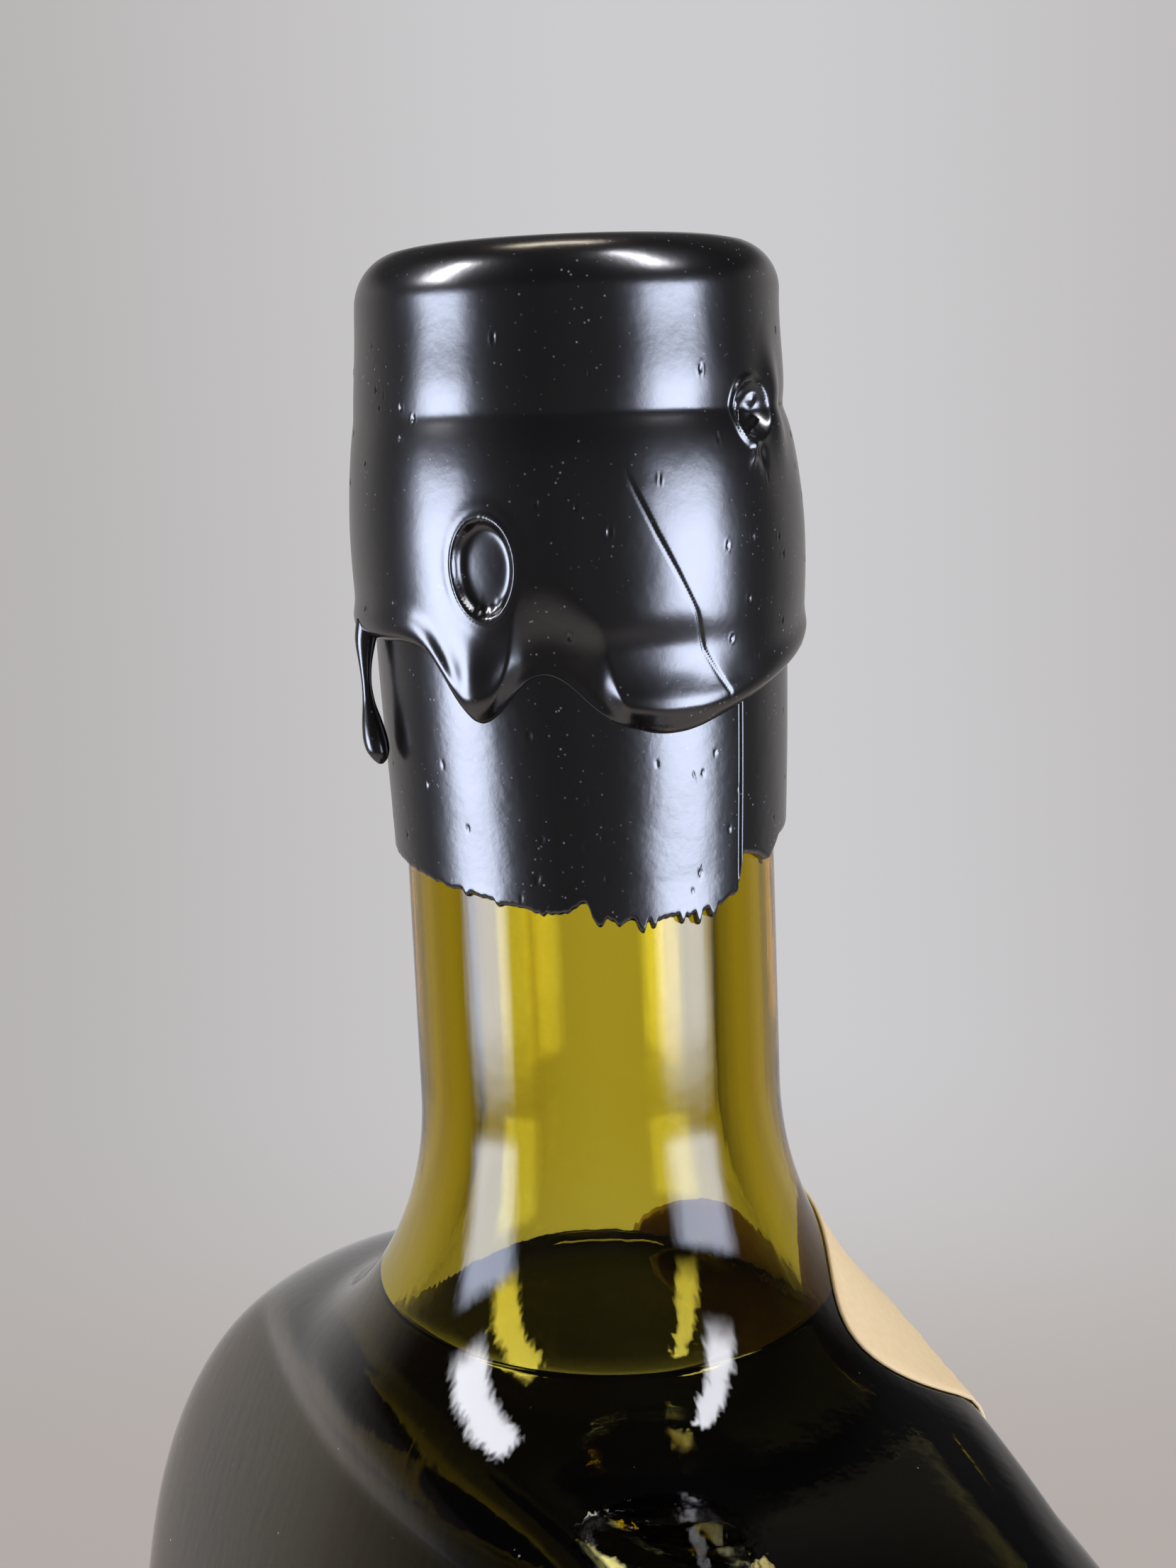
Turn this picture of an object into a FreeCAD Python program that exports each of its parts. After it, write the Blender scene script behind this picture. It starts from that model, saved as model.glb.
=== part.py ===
import FreeCAD, Part
import math
import os

# A flat-sided spirit bottle: olive glass, brown spirit up to the foot of the neck,
# a mouth sealed with two coats of black wax and a plain shoulder label.
# Millimetres, +Z up, foot on z = 0, wide faces towards -Y and +Y.

# ---- overall sizes -----------------------------------------------------------
TOTAL_HEIGHT = 226.25       # foot to the top of the wax
BODY_HALF_WIDTH = 76.0      # half of the widest front view
BODY_HALF_DEPTH = 37.0      # half of the deepest side view
FOOT_HALF_WIDTH = 40.0
FOOT_HALF_DEPTH = 26.0

# ---- glass ---------------------------------------------------------------------
NECK_RADIUS = 14.75
NECK_FOOT_DROP = 66.5       # top of the wax to the end of the straight neck
NECK_WALL = 5.15            # thick glass of the neck
WALL = 4.0                  # body wall
FLOOR = 7.0                 # glass under the spirit, above the punt
PUNT_DEPTH = 6.0
PUNT_RIM = 3.0              # flat bearing rim left around the punt
FOOT_ROUND = 6.0
FRONT_FLARE = 24.0          # hollow radius from the neck into the wide shoulder
FRONT_SHOULDER = 52.0       # shoulder radius seen from the front
SIDE_FLARE = 30.0           # hollow radius from the neck towards the faces
SIDE_SHOULDER = 38.0
SIDE_FLARE_REACH = 39.5     # how far the side flare would run without the faces
FACE_START_HALF = 24.0      # half depth where the wide faces begin
FACE_START_DROP = 94.5      # top of the wax to the start of the wide faces
FACE_FULL_DROP = 144.75     # top of the wax to the deepest place of the body
FACE_BOW = 7.3              # the faces fall back this much towards their edges
CREASE_SHARPNESS = 40.0     # higher is a crisper edge between face and shoulder
LIP_PROUD = 0.85            # the lip stands out this much from the neck
LIP_STEP = 1.2              # the lip starts this far under the mouth
LIP_LENGTH = 8.9
MOUTH_DROP = 1.4            # wax over the mouth
BORE_END_DROP = 44.25       # the bore is closed above this, where nothing can be seen

# ---- spirit --------------------------------------------------------------------
FILL_DROP = 85.5            # top of the wax to the level of the spirit
SPIRIT_CLEARANCE = 0.02     # between spirit and glass

# ---- wax: first coat ------------------------------------------------------------
SKIRT_THICKNESS = 0.85
SKIRT_HEM_DROP = 49.25      # top of the wax to the hem of the first coat
SKIRT_TOP_DROP = 14.25      # its upper end lies under the second coat
HEM_TEETH = 31              # small torn teeth around the hem
HEM_TOOTH = 0.45
HEM_SAG = 1.1
NOTCH_ANGLE = 52.0          # the torn notch beside the strip, from the view side
NOTCH_HALF = 6.5
NOTCH_RISE = 3.2

# ---- wax: second coat -----------------------------------------------------------
COAT_RIM_THICKNESS = 0.7    # over the lip
COAT_RIM_ROUND = 4.0        # rounded edge of the top
GROOVE_DROP = 12.6          # shallow waist under the lip
GROOVE_DEPTH = 0.75
COAT_BELLY_THICKNESS = 2.1  # over the first coat
COAT_BELLY_DROP = 22.25
COAT_EDGE_THICKNESS = 1.3   # over the first coat
COAT_EDGE_DROP = 30.5       # mean lower edge
COAT_EDGE_BEAD = 0.55
VIEW_SIDE = 154.0           # bearing of the side with the tongue, from +X
TONGUE = (-25.0, 5.0, 7.5)  # bearing from the view side, length, half angle
SWAG = (27.0, 5.2, 30.0)    # broad hanging swag
DRIP_BEARING = -66.0
DRIP_LENGTH = 8.6
DRIP_HALF = 5.0
DRIP_BULB = 1.25
DIMPLE = (-24.3, 23.35, 2.45, 3.6, 0.6)    # bearing, drop, half width, half height, depth
CRATER = (48.5, 12.9, 2.6, 2.7, 0.8)

# ---- label ----------------------------------------------------------------------
LABEL_THICKNESS = 0.3
LABEL_HALF_WIDTH = 22.0
LABEL_TOP_DROP = 77.5
LABEL_BOTTOM_DROP = 106.5

# ---- sizes that follow from those above ------------------------------------------
BORE_RADIUS = NECK_RADIUS - NECK_WALL
LIP_RADIUS = NECK_RADIUS + LIP_PROUD
SKIRT_RADIUS = NECK_RADIUS + SKIRT_THICKNESS
COAT_RIM_RADIUS = LIP_RADIUS + COAT_RIM_THICKNESS
COAT_BELLY_RADIUS = SKIRT_RADIUS + COAT_BELLY_THICKNESS
COAT_EDGE_RADIUS = SKIRT_RADIUS + COAT_EDGE_THICKNESS

AROUND = 72                 # points around a section of the glass
COAT_AROUND = 96            # facets around the wax
STEPS = 30


def level(drop):
    """Height above the foot of a place given as a drop from the top of the wax."""
    return TOTAL_HEIGHT - drop


def half_outline(z, flare, shoulder, reach, foot, start):
    """Half of an outline: hollow flare, round shoulder, then a slow taper to the foot."""
    top = level(NECK_FOOT_DROP)
    if z >= top:
        return start
    flare_centre = start + flare
    shoulder_centre = reach - shoulder
    across = flare_centre - shoulder_centre
    drop = math.sqrt((flare + shoulder) ** 2 - across ** 2)
    widest = top - drop
    meet = top - drop * flare / (flare + shoulder)
    if z >= meet:
        return flare_centre - math.sqrt(max(flare ** 2 - (top - z) ** 2, 0.0))
    if z >= widest:
        return shoulder_centre + math.sqrt(max(shoulder ** 2 - (z - widest) ** 2, 0.0))
    return reach - (reach - foot) * ((widest - z) / widest) ** 1.9


def face_half(z):
    """Half depth between the wide faces on the middle line."""
    begin = level(FACE_START_DROP)
    full = level(FACE_FULL_DROP)
    if z >= begin:
        return FACE_START_HALF
    if z >= full:
        share = (begin - z) / (begin - full)
        ease = 1.0 - (1.0 - share) ** 1.6
        return FACE_START_HALF + (BODY_HALF_DEPTH - FACE_START_HALF) * ease
    share = (full - z) / full
    return BODY_HALF_DEPTH - (BODY_HALF_DEPTH - FOOT_HALF_DEPTH) * share ** 1.8


def glass_radius(angle, z, inset):
    """Radius of the glass section at a bearing, set in by a wall."""
    start = NECK_RADIUS
    width = half_outline(z, FRONT_FLARE, FRONT_SHOULDER, BODY_HALF_WIDTH, FOOT_HALF_WIDTH, start)
    reach = half_outline(z, SIDE_FLARE, SIDE_SHOULDER, SIDE_FLARE_REACH, FOOT_HALF_DEPTH + 4.0, start)
    depth = face_half(z)
    width -= inset
    reach -= inset
    depth -= inset
    c = abs(math.cos(angle))
    s = abs(math.sin(angle))
    round_r = 1.0 / math.sqrt((c / width) ** 2 + (s / reach) ** 2)
    flat_r = min(round_r, depth / max(s, 1e-3))
    for _ in range(14):
        share = min(flat_r * c / width, 1.0)
        bowed = depth - FACE_BOW * share ** 1.8
        flat_r = 0.5 * flat_r + 0.5 * min(round_r * 1.5, bowed / max(s, 1e-3))
    m = CREASE_SHARPNESS
    return (round_r ** -m + flat_r ** -m) ** (-1.0 / m)


def section_points(z, inset):
    """Points around the glass at one height."""
    points = []
    for i in range(AROUND):
        angle = 2.0 * math.pi * i / AROUND
        radius = glass_radius(angle, z, inset)
        points.append(FreeCAD.Vector(radius * math.cos(angle), radius * math.sin(angle), z))
    return points


def skin_solid(rows):
    """Smooth closed solid whose side follows rows of points, with flat ends."""
    around = len(rows[0])
    along = len(rows)
    poles = [[rows[v][u] for v in range(along)] for u in range(around)]
    side = Part.BSplineSurface()
    side.buildFromPolesMultsKnots(
        poles,
        [1] * (around + 1),
        [4] + [1] * (along - 4) + [4],
        [float(k) for k in range(around + 1)],
        [float(k) for k in range(along - 2)],
        True,
        False,
        3,
        3,
    )
    skin = side.toShape()
    ends = []
    for edge in skin.Edges:
        box = edge.BoundBox
        if box.ZLength < 1e-6:
            ends.append(Part.Face(Part.Wire([edge])))
    shell = Part.makeShell([skin] + ends)
    shell.sewShape()
    solid = Part.makeSolid(shell)
    if solid.Volume < 0:
        solid.reverse()
    return solid


def heights(low, high):
    """Section heights, closer together where the neck flares into the shoulder."""
    result = [low]
    z = low
    while z < high - 1e-6:
        near_flare = level(FACE_START_DROP) - 14.0 < z < level(NECK_FOOT_DROP) + 3.0
        z += 3.0 if near_flare else 9.0
        result.append(min(z, high))
    if result[-1] - result[-2] < 2.0:
        result.pop(-2)
    return result


def outer_glass():
    """Outside of the bottle from the foot to the mouth."""
    rows = [section_points(0.0, FOOT_ROUND)]
    for i in range(1, 7):
        turn = math.pi / 2.0 * i / 6.0
        z = FOOT_ROUND * (1.0 - math.cos(turn))
        rows.append(section_points(z, FOOT_ROUND * (1.0 - math.sin(turn))))
    for z in heights(FOOT_ROUND, level(MOUTH_DROP))[1:]:
        rows.append(section_points(z, 0.0))
    return skin_solid(rows)


def wall_at(z):
    """Wall thickness, growing from the body to the thick neck."""
    neck_wall = NECK_RADIUS - BORE_RADIUS
    share = (z - level(FACE_START_DROP)) / (FACE_START_DROP - NECK_FOOT_DROP)
    return WALL + (neck_wall - WALL) * min(max(share, 0.0), 1.0)


def cavity(high, clearance):
    """Inside of the bottle from its floor to a height, less a clearance."""
    floor = PUNT_DEPTH + FLOOR + clearance
    rows = []
    for i in range(7):
        turn = math.pi / 2.0 * i / 6.0
        z = floor + FOOT_ROUND * (1.0 - math.cos(turn))
        back = FOOT_ROUND * (1.0 - math.sin(turn))
        rows.append(section_points(z, wall_at(z) + back + clearance))
    for z in heights(floor + FOOT_ROUND, high)[1:]:
        rows.append(section_points(z, wall_at(z) + clearance))
    return skin_solid(rows)


def punt():
    """Hollow under the foot, inside the bearing rim."""
    width = FOOT_HALF_WIDTH - FOOT_ROUND - PUNT_RIM
    depth = FOOT_HALF_DEPTH - FOOT_ROUND - PUNT_RIM
    wires = []
    for share in (0.0, 0.25, 0.5, 0.7, 0.85, 0.95):
        shrink = math.sqrt(1.0 - share ** 2)
        centre = FreeCAD.Vector(0, 0, PUNT_DEPTH * share)
        oval = Part.Ellipse(centre, width * shrink, depth * shrink)
        wires.append(Part.Wire([oval.toShape()]))
    return Part.makeLoft(wires, True, False)


def lip():
    """Ring of glass around the mouth."""
    top = level(MOUTH_DROP + LIP_STEP)
    ring = Part.makeCylinder(LIP_RADIUS, LIP_LENGTH, FreeCAD.Vector(0, 0, top - LIP_LENGTH))
    core = Part.makeCylinder(BORE_RADIUS + 2.0, LIP_LENGTH, FreeCAD.Vector(0, 0, top - LIP_LENGTH))
    return ring.cut(core)


def ring_solid(rings):
    """Closed faceted solid through rings of points; the end rings are single points."""
    faces = []

    def add(a, b, c):
        if (b - a).cross(c - a).Length > 1e-7:
            faces.append(Part.Face(Part.makePolygon([a, b, c, a])))

    for lower, upper in zip(rings[:-1], rings[1:]):
        count = max(len(lower), len(upper))
        for i in range(count):
            j = (i + 1) % count
            if len(lower) == 1:
                add(lower[0], upper[j], upper[i])
            elif len(upper) == 1:
                add(lower[i], lower[j], upper[0])
            else:
                add(lower[i], lower[j], upper[j])
                add(lower[i], upper[j], upper[i])
    shell = Part.makeShell(faces)
    shell.sewShape()
    solid = Part.makeSolid(shell)
    if solid.Volume < 0:
        solid.reverse()
    return solid


def bump(offset, half):
    """Smooth bump of height one that fades to nothing at about twice the half size."""
    return math.exp(-(offset / half) ** 2)


def bearing_gap(angle, bearing):
    """Degrees from a bearing that is given from the view side."""
    gap = math.degrees(angle) - VIEW_SIDE - bearing
    return (gap + 180.0) % 360.0 - 180.0


def coat_edge_drop(angle):
    """Drop of the second coat's lower edge: waves, a tongue, a swag and a drip."""
    wave = 0.7 * math.sin(3.0 * angle + 0.6) + 0.5 * math.sin(5.0 * angle + 2.0)
    far = 1.0 - bump(bearing_gap(angle, 0.0), 75.0)
    drop = COAT_EDGE_DROP - 1.6 + wave * far + 2.5 * far * bump(bearing_gap(angle, 165.0), 30.0)
    drop += TONGUE[1] * bump(bearing_gap(angle, TONGUE[0]), TONGUE[2])
    drop += SWAG[1] * bump(bearing_gap(angle, SWAG[0]), SWAG[2])
    drop += DRIP_LENGTH * bump(bearing_gap(angle, DRIP_BEARING), DRIP_HALF)
    return drop


def coat_profile(drop):
    """Radius of the second coat on its plain sides."""
    if drop < COAT_RIM_ROUND:
        lift = (COAT_RIM_ROUND - drop) / COAT_RIM_ROUND
        shrink = 1.0 - math.sqrt(max(1.0 - lift ** 2, 0.0))
        return COAT_RIM_RADIUS - COAT_RIM_ROUND * shrink
    lean = (drop - COAT_RIM_ROUND) / (COAT_BELLY_DROP - COAT_RIM_ROUND)
    share = min(max(lean, 0.0), 1.0)
    radius = COAT_RIM_RADIUS + (COAT_BELLY_RADIUS - COAT_RIM_RADIUS) * share ** 1.3
    if drop > COAT_BELLY_DROP:
        fall = (drop - COAT_BELLY_DROP) / (COAT_EDGE_DROP - COAT_BELLY_DROP)
        radius -= (COAT_BELLY_RADIUS - COAT_EDGE_RADIUS) * min(fall, 1.0) ** 2
    return radius - GROOVE_DEPTH * bump(drop - GROOVE_DROP, 1.7)


def hollow(angle, drop, spec):
    """Depth of a round or oval hollow with a flat floor."""
    bearing, centre, half_width, half_height, depth = spec
    across = math.radians(bearing_gap(angle, bearing)) * COAT_BELLY_RADIUS
    reach = math.hypot(across / half_width, (drop - centre) / half_height)
    return depth / (1.0 + math.exp((reach - 1.0) * 9.0))


def coat_radius(angle, drop):
    """Outer radius of the second coat with its hollows, bead and drip."""
    radius = coat_profile(min(drop, COAT_EDGE_DROP + 1.0))
    edge = coat_edge_drop(angle)
    radius += COAT_EDGE_BEAD * bump(drop - edge + 1.4, 1.3)
    radius -= hollow(angle, drop, DIMPLE) + hollow(angle, drop, CRATER)
    stem = bump(bearing_gap(angle, DRIP_BEARING), DRIP_HALF)
    radius += DRIP_BULB * stem * bump(drop - edge + 1.8, 2.2)
    return radius


def second_coat():
    """Thick coat over the mouth, down to its wavy lower edge."""
    n = COAT_AROUND
    angles = [2.0 * math.pi * i / n for i in range(n)]
    ease = 1.0 / math.cos(math.pi / n)
    neck = SKIRT_RADIUS * ease + 0.01
    over_lip = LIP_RADIUS * ease + 0.01
    lip_top = MOUTH_DROP + LIP_STEP
    lip_foot = lip_top + LIP_LENGTH
    mouth = NECK_RADIUS * ease + 0.01

    def ring(radius_of, drop_of):
        points = []
        for a in angles:
            r = radius_of(a)
            points.append(FreeCAD.Vector(r * math.cos(a), r * math.sin(a), level(drop_of(a))))
        return points

    rings = [[FreeCAD.Vector(0, 0, level(MOUTH_DROP - 0.01))]]
    rings.append(ring(lambda a: mouth, lambda a: MOUTH_DROP - 0.01))
    rings.append(ring(lambda a: mouth, lambda a: lip_top - 0.01))
    rings.append(ring(lambda a: over_lip, lambda a: lip_top - 0.01))
    rings.append(ring(lambda a: over_lip, lambda a: lip_foot))
    rings.append(ring(lambda a: neck, lambda a: lip_foot + 0.4))
    rings.append(ring(lambda a: neck, lambda a: coat_edge_drop(a) - 0.2))
    rings.append(ring(lambda a: neck + 0.55, coat_edge_drop))
    for k in range(STEPS):
        share = 1.0 - (k + 0.4) / (STEPS + 0.4)

        def drop_of(a, share=share):
            low = coat_edge_drop(a) - 0.35
            return 0.15 + (low - 0.15) * share ** 1.15

        rings.append(ring(lambda a: coat_radius(a, drop_of(a)), drop_of))
    rings.append(ring(lambda a: COAT_RIM_RADIUS - COAT_RIM_ROUND, lambda a: 0.0))
    rings.append([FreeCAD.Vector(0, 0, level(0.0))])
    return ring_solid([list(r) for r in rings])


def hem_drop(angle):
    """Drop of the first coat's torn hem."""
    gap = bearing_gap(angle, 0.0)
    drop = SKIRT_HEM_DROP + HEM_SAG * math.sin(math.radians(gap)) * bump(gap, 95.0)
    drop += HEM_TOOTH * math.sin(HEM_TEETH * angle) * (0.6 + 0.4 * math.sin(4.0 * angle + 1.0))
    notch = 1.0 / (1.0 + math.exp((abs(bearing_gap(angle, NOTCH_ANGLE)) - NOTCH_HALF) * 2.0))
    return drop - NOTCH_RISE * notch


def first_coat():
    """Thin coat down to the torn hem."""
    n = COAT_AROUND * 2
    angles = [2.0 * math.pi * i / n for i in range(n)]
    ease = 1.0 / math.cos(math.pi / n)
    inner = NECK_RADIUS * ease + 0.01
    outer = SKIRT_RADIUS

    def ring(radius, drop_of):
        return [
            FreeCAD.Vector(radius * math.cos(a), radius * math.sin(a), level(drop_of(a)))
            for a in angles
        ]

    low_in = ring(inner, lambda a: hem_drop(a) - 0.05)
    low_out = ring(outer - 0.15, hem_drop)
    side = ring(outer, lambda a: hem_drop(a) - 0.4)
    top_out = ring(outer, lambda a: SKIRT_TOP_DROP)
    top_in = ring(inner, lambda a: SKIRT_TOP_DROP)
    rings = [top_in, low_in, low_out, side, top_out, top_in]
    faces = []
    for lower, upper in zip(rings[:-1], rings[1:]):
        for i in range(n):
            j = (i + 1) % n
            a, b, c, d = lower[i], lower[j], upper[j], upper[i]
            faces.append(Part.Face(Part.makePolygon([a, b, c, a])))
            faces.append(Part.Face(Part.makePolygon([a, c, d, a])))
    shell = Part.makeShell(faces)
    shell.sewShape()
    solid = Part.makeSolid(shell)
    if solid.Volume < 0:
        solid.reverse()
    return solid


def label(glass_outer):
    """Paper shoulder label: an oval piece of a thin skin over the front face."""
    rows = []
    for z in heights(level(LABEL_BOTTOM_DROP + 12.0), level(LABEL_TOP_DROP - 12.0)):
        rows.append(section_points(z, -LABEL_THICKNESS))
    skin = skin_solid(rows)
    centre = 0.5 * (level(LABEL_TOP_DROP) + level(LABEL_BOTTOM_DROP))
    half_height = 0.5 * (LABEL_BOTTOM_DROP - LABEL_TOP_DROP)
    oval = Part.Ellipse(FreeCAD.Vector(0, 0, 0), LABEL_HALF_WIDTH, half_height)
    stamp = Part.Face(Part.Wire([oval.toShape()])).extrude(FreeCAD.Vector(0, 0, 60.0))
    stamp.rotate(FreeCAD.Vector(0, 0, 0), FreeCAD.Vector(1, 0, 0), 90.0)
    stamp.translate(FreeCAD.Vector(0, 0, centre))
    return skin.common(stamp).cut(glass_outer)


def main():
    os.makedirs("parts", exist_ok=True)
    outer = outer_glass()
    bore = cavity(level(BORE_END_DROP), 0.0)
    glass = outer.fuse(lip()).cut(bore).cut(punt())
    spirit = cavity(level(FILL_DROP), SPIRIT_CLEARANCE)
    parts = {
        "glass_bottle": glass,
        "spirit_fill": spirit,
        "wax_second_coat": second_coat(),
        "wax_first_coat": first_coat(),
        "shoulder_label": label(outer),
    }
    for name, shape in parts.items():
        box = shape.optimalBoundingBox(True)
        print(name, len(shape.Solids), shape.isValid(), round(shape.Volume, 1),
              [round(v, 2) for v in (box.XMin, box.XMax, box.YMin, box.YMax, box.ZMin, box.ZMax)])
        shape.exportStep("parts/" + name + ".step")


main()
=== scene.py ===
"""A flat-sided olive glass bottle of brown spirit, its mouth sealed with two coats of black wax.

Sizes are in millimetres until a mesh is made, +Z is up and the foot stands on z = 0. The wide
faces look to -Y and +Y, and the drips, bubbles and torn hem are placed by their bearing from
the side that carries the long tongue of wax.
"""

from __future__ import annotations

import enum
import logging
import math
from dataclasses import dataclass

import bpy
import numpy as np
from mathutils import Matrix, Vector

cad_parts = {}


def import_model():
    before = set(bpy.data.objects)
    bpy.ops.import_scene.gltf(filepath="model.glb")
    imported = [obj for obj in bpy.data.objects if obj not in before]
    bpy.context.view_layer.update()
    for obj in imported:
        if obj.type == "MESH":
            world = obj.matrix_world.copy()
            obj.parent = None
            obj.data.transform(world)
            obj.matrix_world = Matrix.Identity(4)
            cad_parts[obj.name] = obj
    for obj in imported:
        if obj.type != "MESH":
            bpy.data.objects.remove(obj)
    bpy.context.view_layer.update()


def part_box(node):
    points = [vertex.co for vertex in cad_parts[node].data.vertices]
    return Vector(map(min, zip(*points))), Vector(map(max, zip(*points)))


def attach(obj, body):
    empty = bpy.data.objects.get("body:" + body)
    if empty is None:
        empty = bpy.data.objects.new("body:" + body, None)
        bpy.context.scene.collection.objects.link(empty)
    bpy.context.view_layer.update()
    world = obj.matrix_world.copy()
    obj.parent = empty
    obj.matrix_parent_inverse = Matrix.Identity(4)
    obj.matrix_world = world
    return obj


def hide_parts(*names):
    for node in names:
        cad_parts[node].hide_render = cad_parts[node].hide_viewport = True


MM = 0.001
LOG = logging.getLogger("bottle")
Array = np.ndarray
Pair = tuple[float, float]
Colour = tuple[float, float, float, float]
Socket = bpy.types.NodeSocket


# ---- small tools ----


def srgb(code: str) -> Colour:
    """Turn an sRGB hex colour into linear values.

    Args:
        code: Six hex digits.

    Returns:
        Red, green and blue, linear, and an alpha of one.
    """
    raw = [int(code[i : i + 2], 16) / 255.0 for i in (0, 2, 4)]
    lin = [c / 12.92 if c <= 0.04045 else ((c + 0.055) / 1.055) ** 2.4 for c in raw]
    return (lin[0], lin[1], lin[2], 1.0)


def node(tree: bpy.types.NodeTree, kind: str, links: dict | None = None, **settings) -> bpy.types.Node:
    """Add one node with its settings and links.

    Args:
        tree: Tree to add to.
        kind: Node type, such as ShaderNodeBump.
        links: Input name or number to an output socket or a plain value.
        **settings: Node properties, or in_NAME for the value of an input.

    Returns:
        The new node.
    """
    made = tree.nodes.new(kind)
    for key, value in settings.items():
        if key.startswith("in_"):
            made.inputs[key[3:].replace("_", " ")].default_value = value
        else:
            setattr(made, key, value)
    for key, value in (links or {}).items():
        if isinstance(value, bpy.types.NodeSocket):
            tree.links.new(value, made.inputs[key])
        else:
            made.inputs[key].default_value = value
    return made


def fresh_tree(owner: bpy.types.ID) -> bpy.types.NodeTree:
    """Switch a material, world or lamp to nodes and empty its tree."""
    owner.use_nodes = True
    owner.node_tree.nodes.clear()
    return owner.node_tree


def ramp(tree: bpy.types.NodeTree, value: Socket, ends: Pair, levels: Pair, soft: bool = False) -> Socket:
    """Map a value from between two ends to between two levels, eased at both if soft."""
    links = {"Value": value, 1: ends[0], 2: ends[1], 3: levels[0], 4: levels[1]}
    kind = "SMOOTHSTEP" if soft else "LINEAR"
    return node(tree, "ShaderNodeMapRange", links, interpolation_type=kind).outputs[0]


def reckon(tree: bpy.types.NodeTree, kind: str, one: Socket, two: Socket | float) -> Socket:
    """One step of arithmetic on two values."""
    return node(tree, "ShaderNodeMath", {0: one, 1: two}, operation=kind).outputs[0]


def blend(tree: bpy.types.NodeTree, share: Socket, one: Socket | Colour, two: Socket | Colour) -> Socket:
    """Mix two colours."""
    return node(tree, "ShaderNodeMix", {0: share, 6: one, 7: two}, data_type="RGBA").outputs[2]


def mix(tree: bpy.types.NodeTree, share: Socket | float, one: Socket, two: Socket) -> Socket:
    """Mix two shaders."""
    return node(tree, "ShaderNodeMixShader", {0: share, 1: one, 2: two}).outputs[0]


def noise(tree: bpy.types.NodeTree, place: Socket, scale: float, detail: float) -> Socket:
    """Soft noise, about 1 / scale metres across."""
    links = {"Vector": place, "Scale": scale, "Detail": detail}
    return node(tree, "ShaderNodeTexNoise", links).outputs["Fac"]


def bump(tree: bpy.types.NodeTree, height: Socket, strength: float, depth: float, *under: Socket) -> Socket:
    """Relief from a height, laid over another relief if one is given."""
    links = {"Height": height, "Strength": strength, "Distance": depth}
    links.update({"Normal": normal for normal in under})
    return node(tree, "ShaderNodeBump", links).outputs[0]


def bell(offset: Array, half: Array | float) -> Array:
    """Bell curve of height one: exp(-(offset / half) squared)."""
    return np.exp(-((offset / half) ** 2))


def step(value: Array, width: float) -> Array:
    """Soft step from 0 to 1 around zero: 1 / (1 + exp(-value / width))."""
    return 1.0 / (1.0 + np.exp(-np.clip(value / width, -40.0, 40.0)))


def waves(u: Array, v: Array, seed: int, count: int, low: float, high: float) -> Array:
    """Sum of sine waves over two coordinates, about one high.

    Each wave is sin(a u + b v + c) with a direction, a phase and a pitch between low and high
    radians per unit, and the sum is divided by the square root of half the count.

    Args:
        u: First coordinate.
        v: Second coordinate.
        seed: Seed of the waves.
        count: Number of waves.
        low: Lowest pitch.
        high: Highest pitch.

    Returns:
        The height at each place.
    """
    rng = np.random.default_rng(seed)
    total = np.zeros(np.broadcast(u, v).shape)
    for _ in range(count):
        turn, phase = rng.uniform(0.0, 2.0 * math.pi, 2)
        pitch = rng.uniform(low, high)
        total = total + np.sin(pitch * (math.cos(turn) * u + math.sin(turn) * v) + phase)
    return total / math.sqrt(count / 2.0)


def along(gap: Array, knots: tuple[Pair, ...], soft: float = 1.4) -> Array:
    """Value along bearings through knots: straight runs, then the mean of seven near places.

    Args:
        gap: Degrees from the view side, from -180 to 180.
        knots: Pairs of bearing and value, in order; the last joins the first.
        soft: Degrees between the places of the mean.

    Returns:
        The value at each bearing.
    """
    place = np.array([k[0] for k in knots])
    value = np.array([k[1] for k in knots])
    total = np.zeros(gap.shape)
    for k in range(-3, 4):
        total = total + np.interp(gap + k * soft, place, value, period=360.0)
    return total / 7.0


def mesh_object(name: str, points: Array, faces: Array) -> bpy.types.Object:
    """Make a smooth-shaded object from points in millimetres and rows of corner numbers."""
    mesh = bpy.data.meshes.new(name)
    mesh.from_pydata((points * MM).tolist(), [], faces.tolist())
    mesh.validate()
    mesh.shade_smooth()
    made = bpy.data.objects.new(name, mesh)
    bpy.context.scene.collection.objects.link(made)
    return made


def ring_quads(rows: int, cols: int, closed: bool = False) -> Array:
    """Corner numbers of the quads between rings of points.

    Args:
        rows: Number of rings.
        cols: Points on a ring; the last joins the first.
        closed: True to join the last ring to the first.

    Returns:
        Four corner numbers a row.
    """
    k, i = np.meshgrid(np.arange(rows if closed else rows - 1), np.arange(cols), indexing="ij")
    j, up = (i + 1) % cols, (k + 1) % rows
    quads = np.stack([k * cols + i, k * cols + j, up * cols + j, up * cols + i], -1)
    return quads.reshape(-1, 4)


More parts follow.
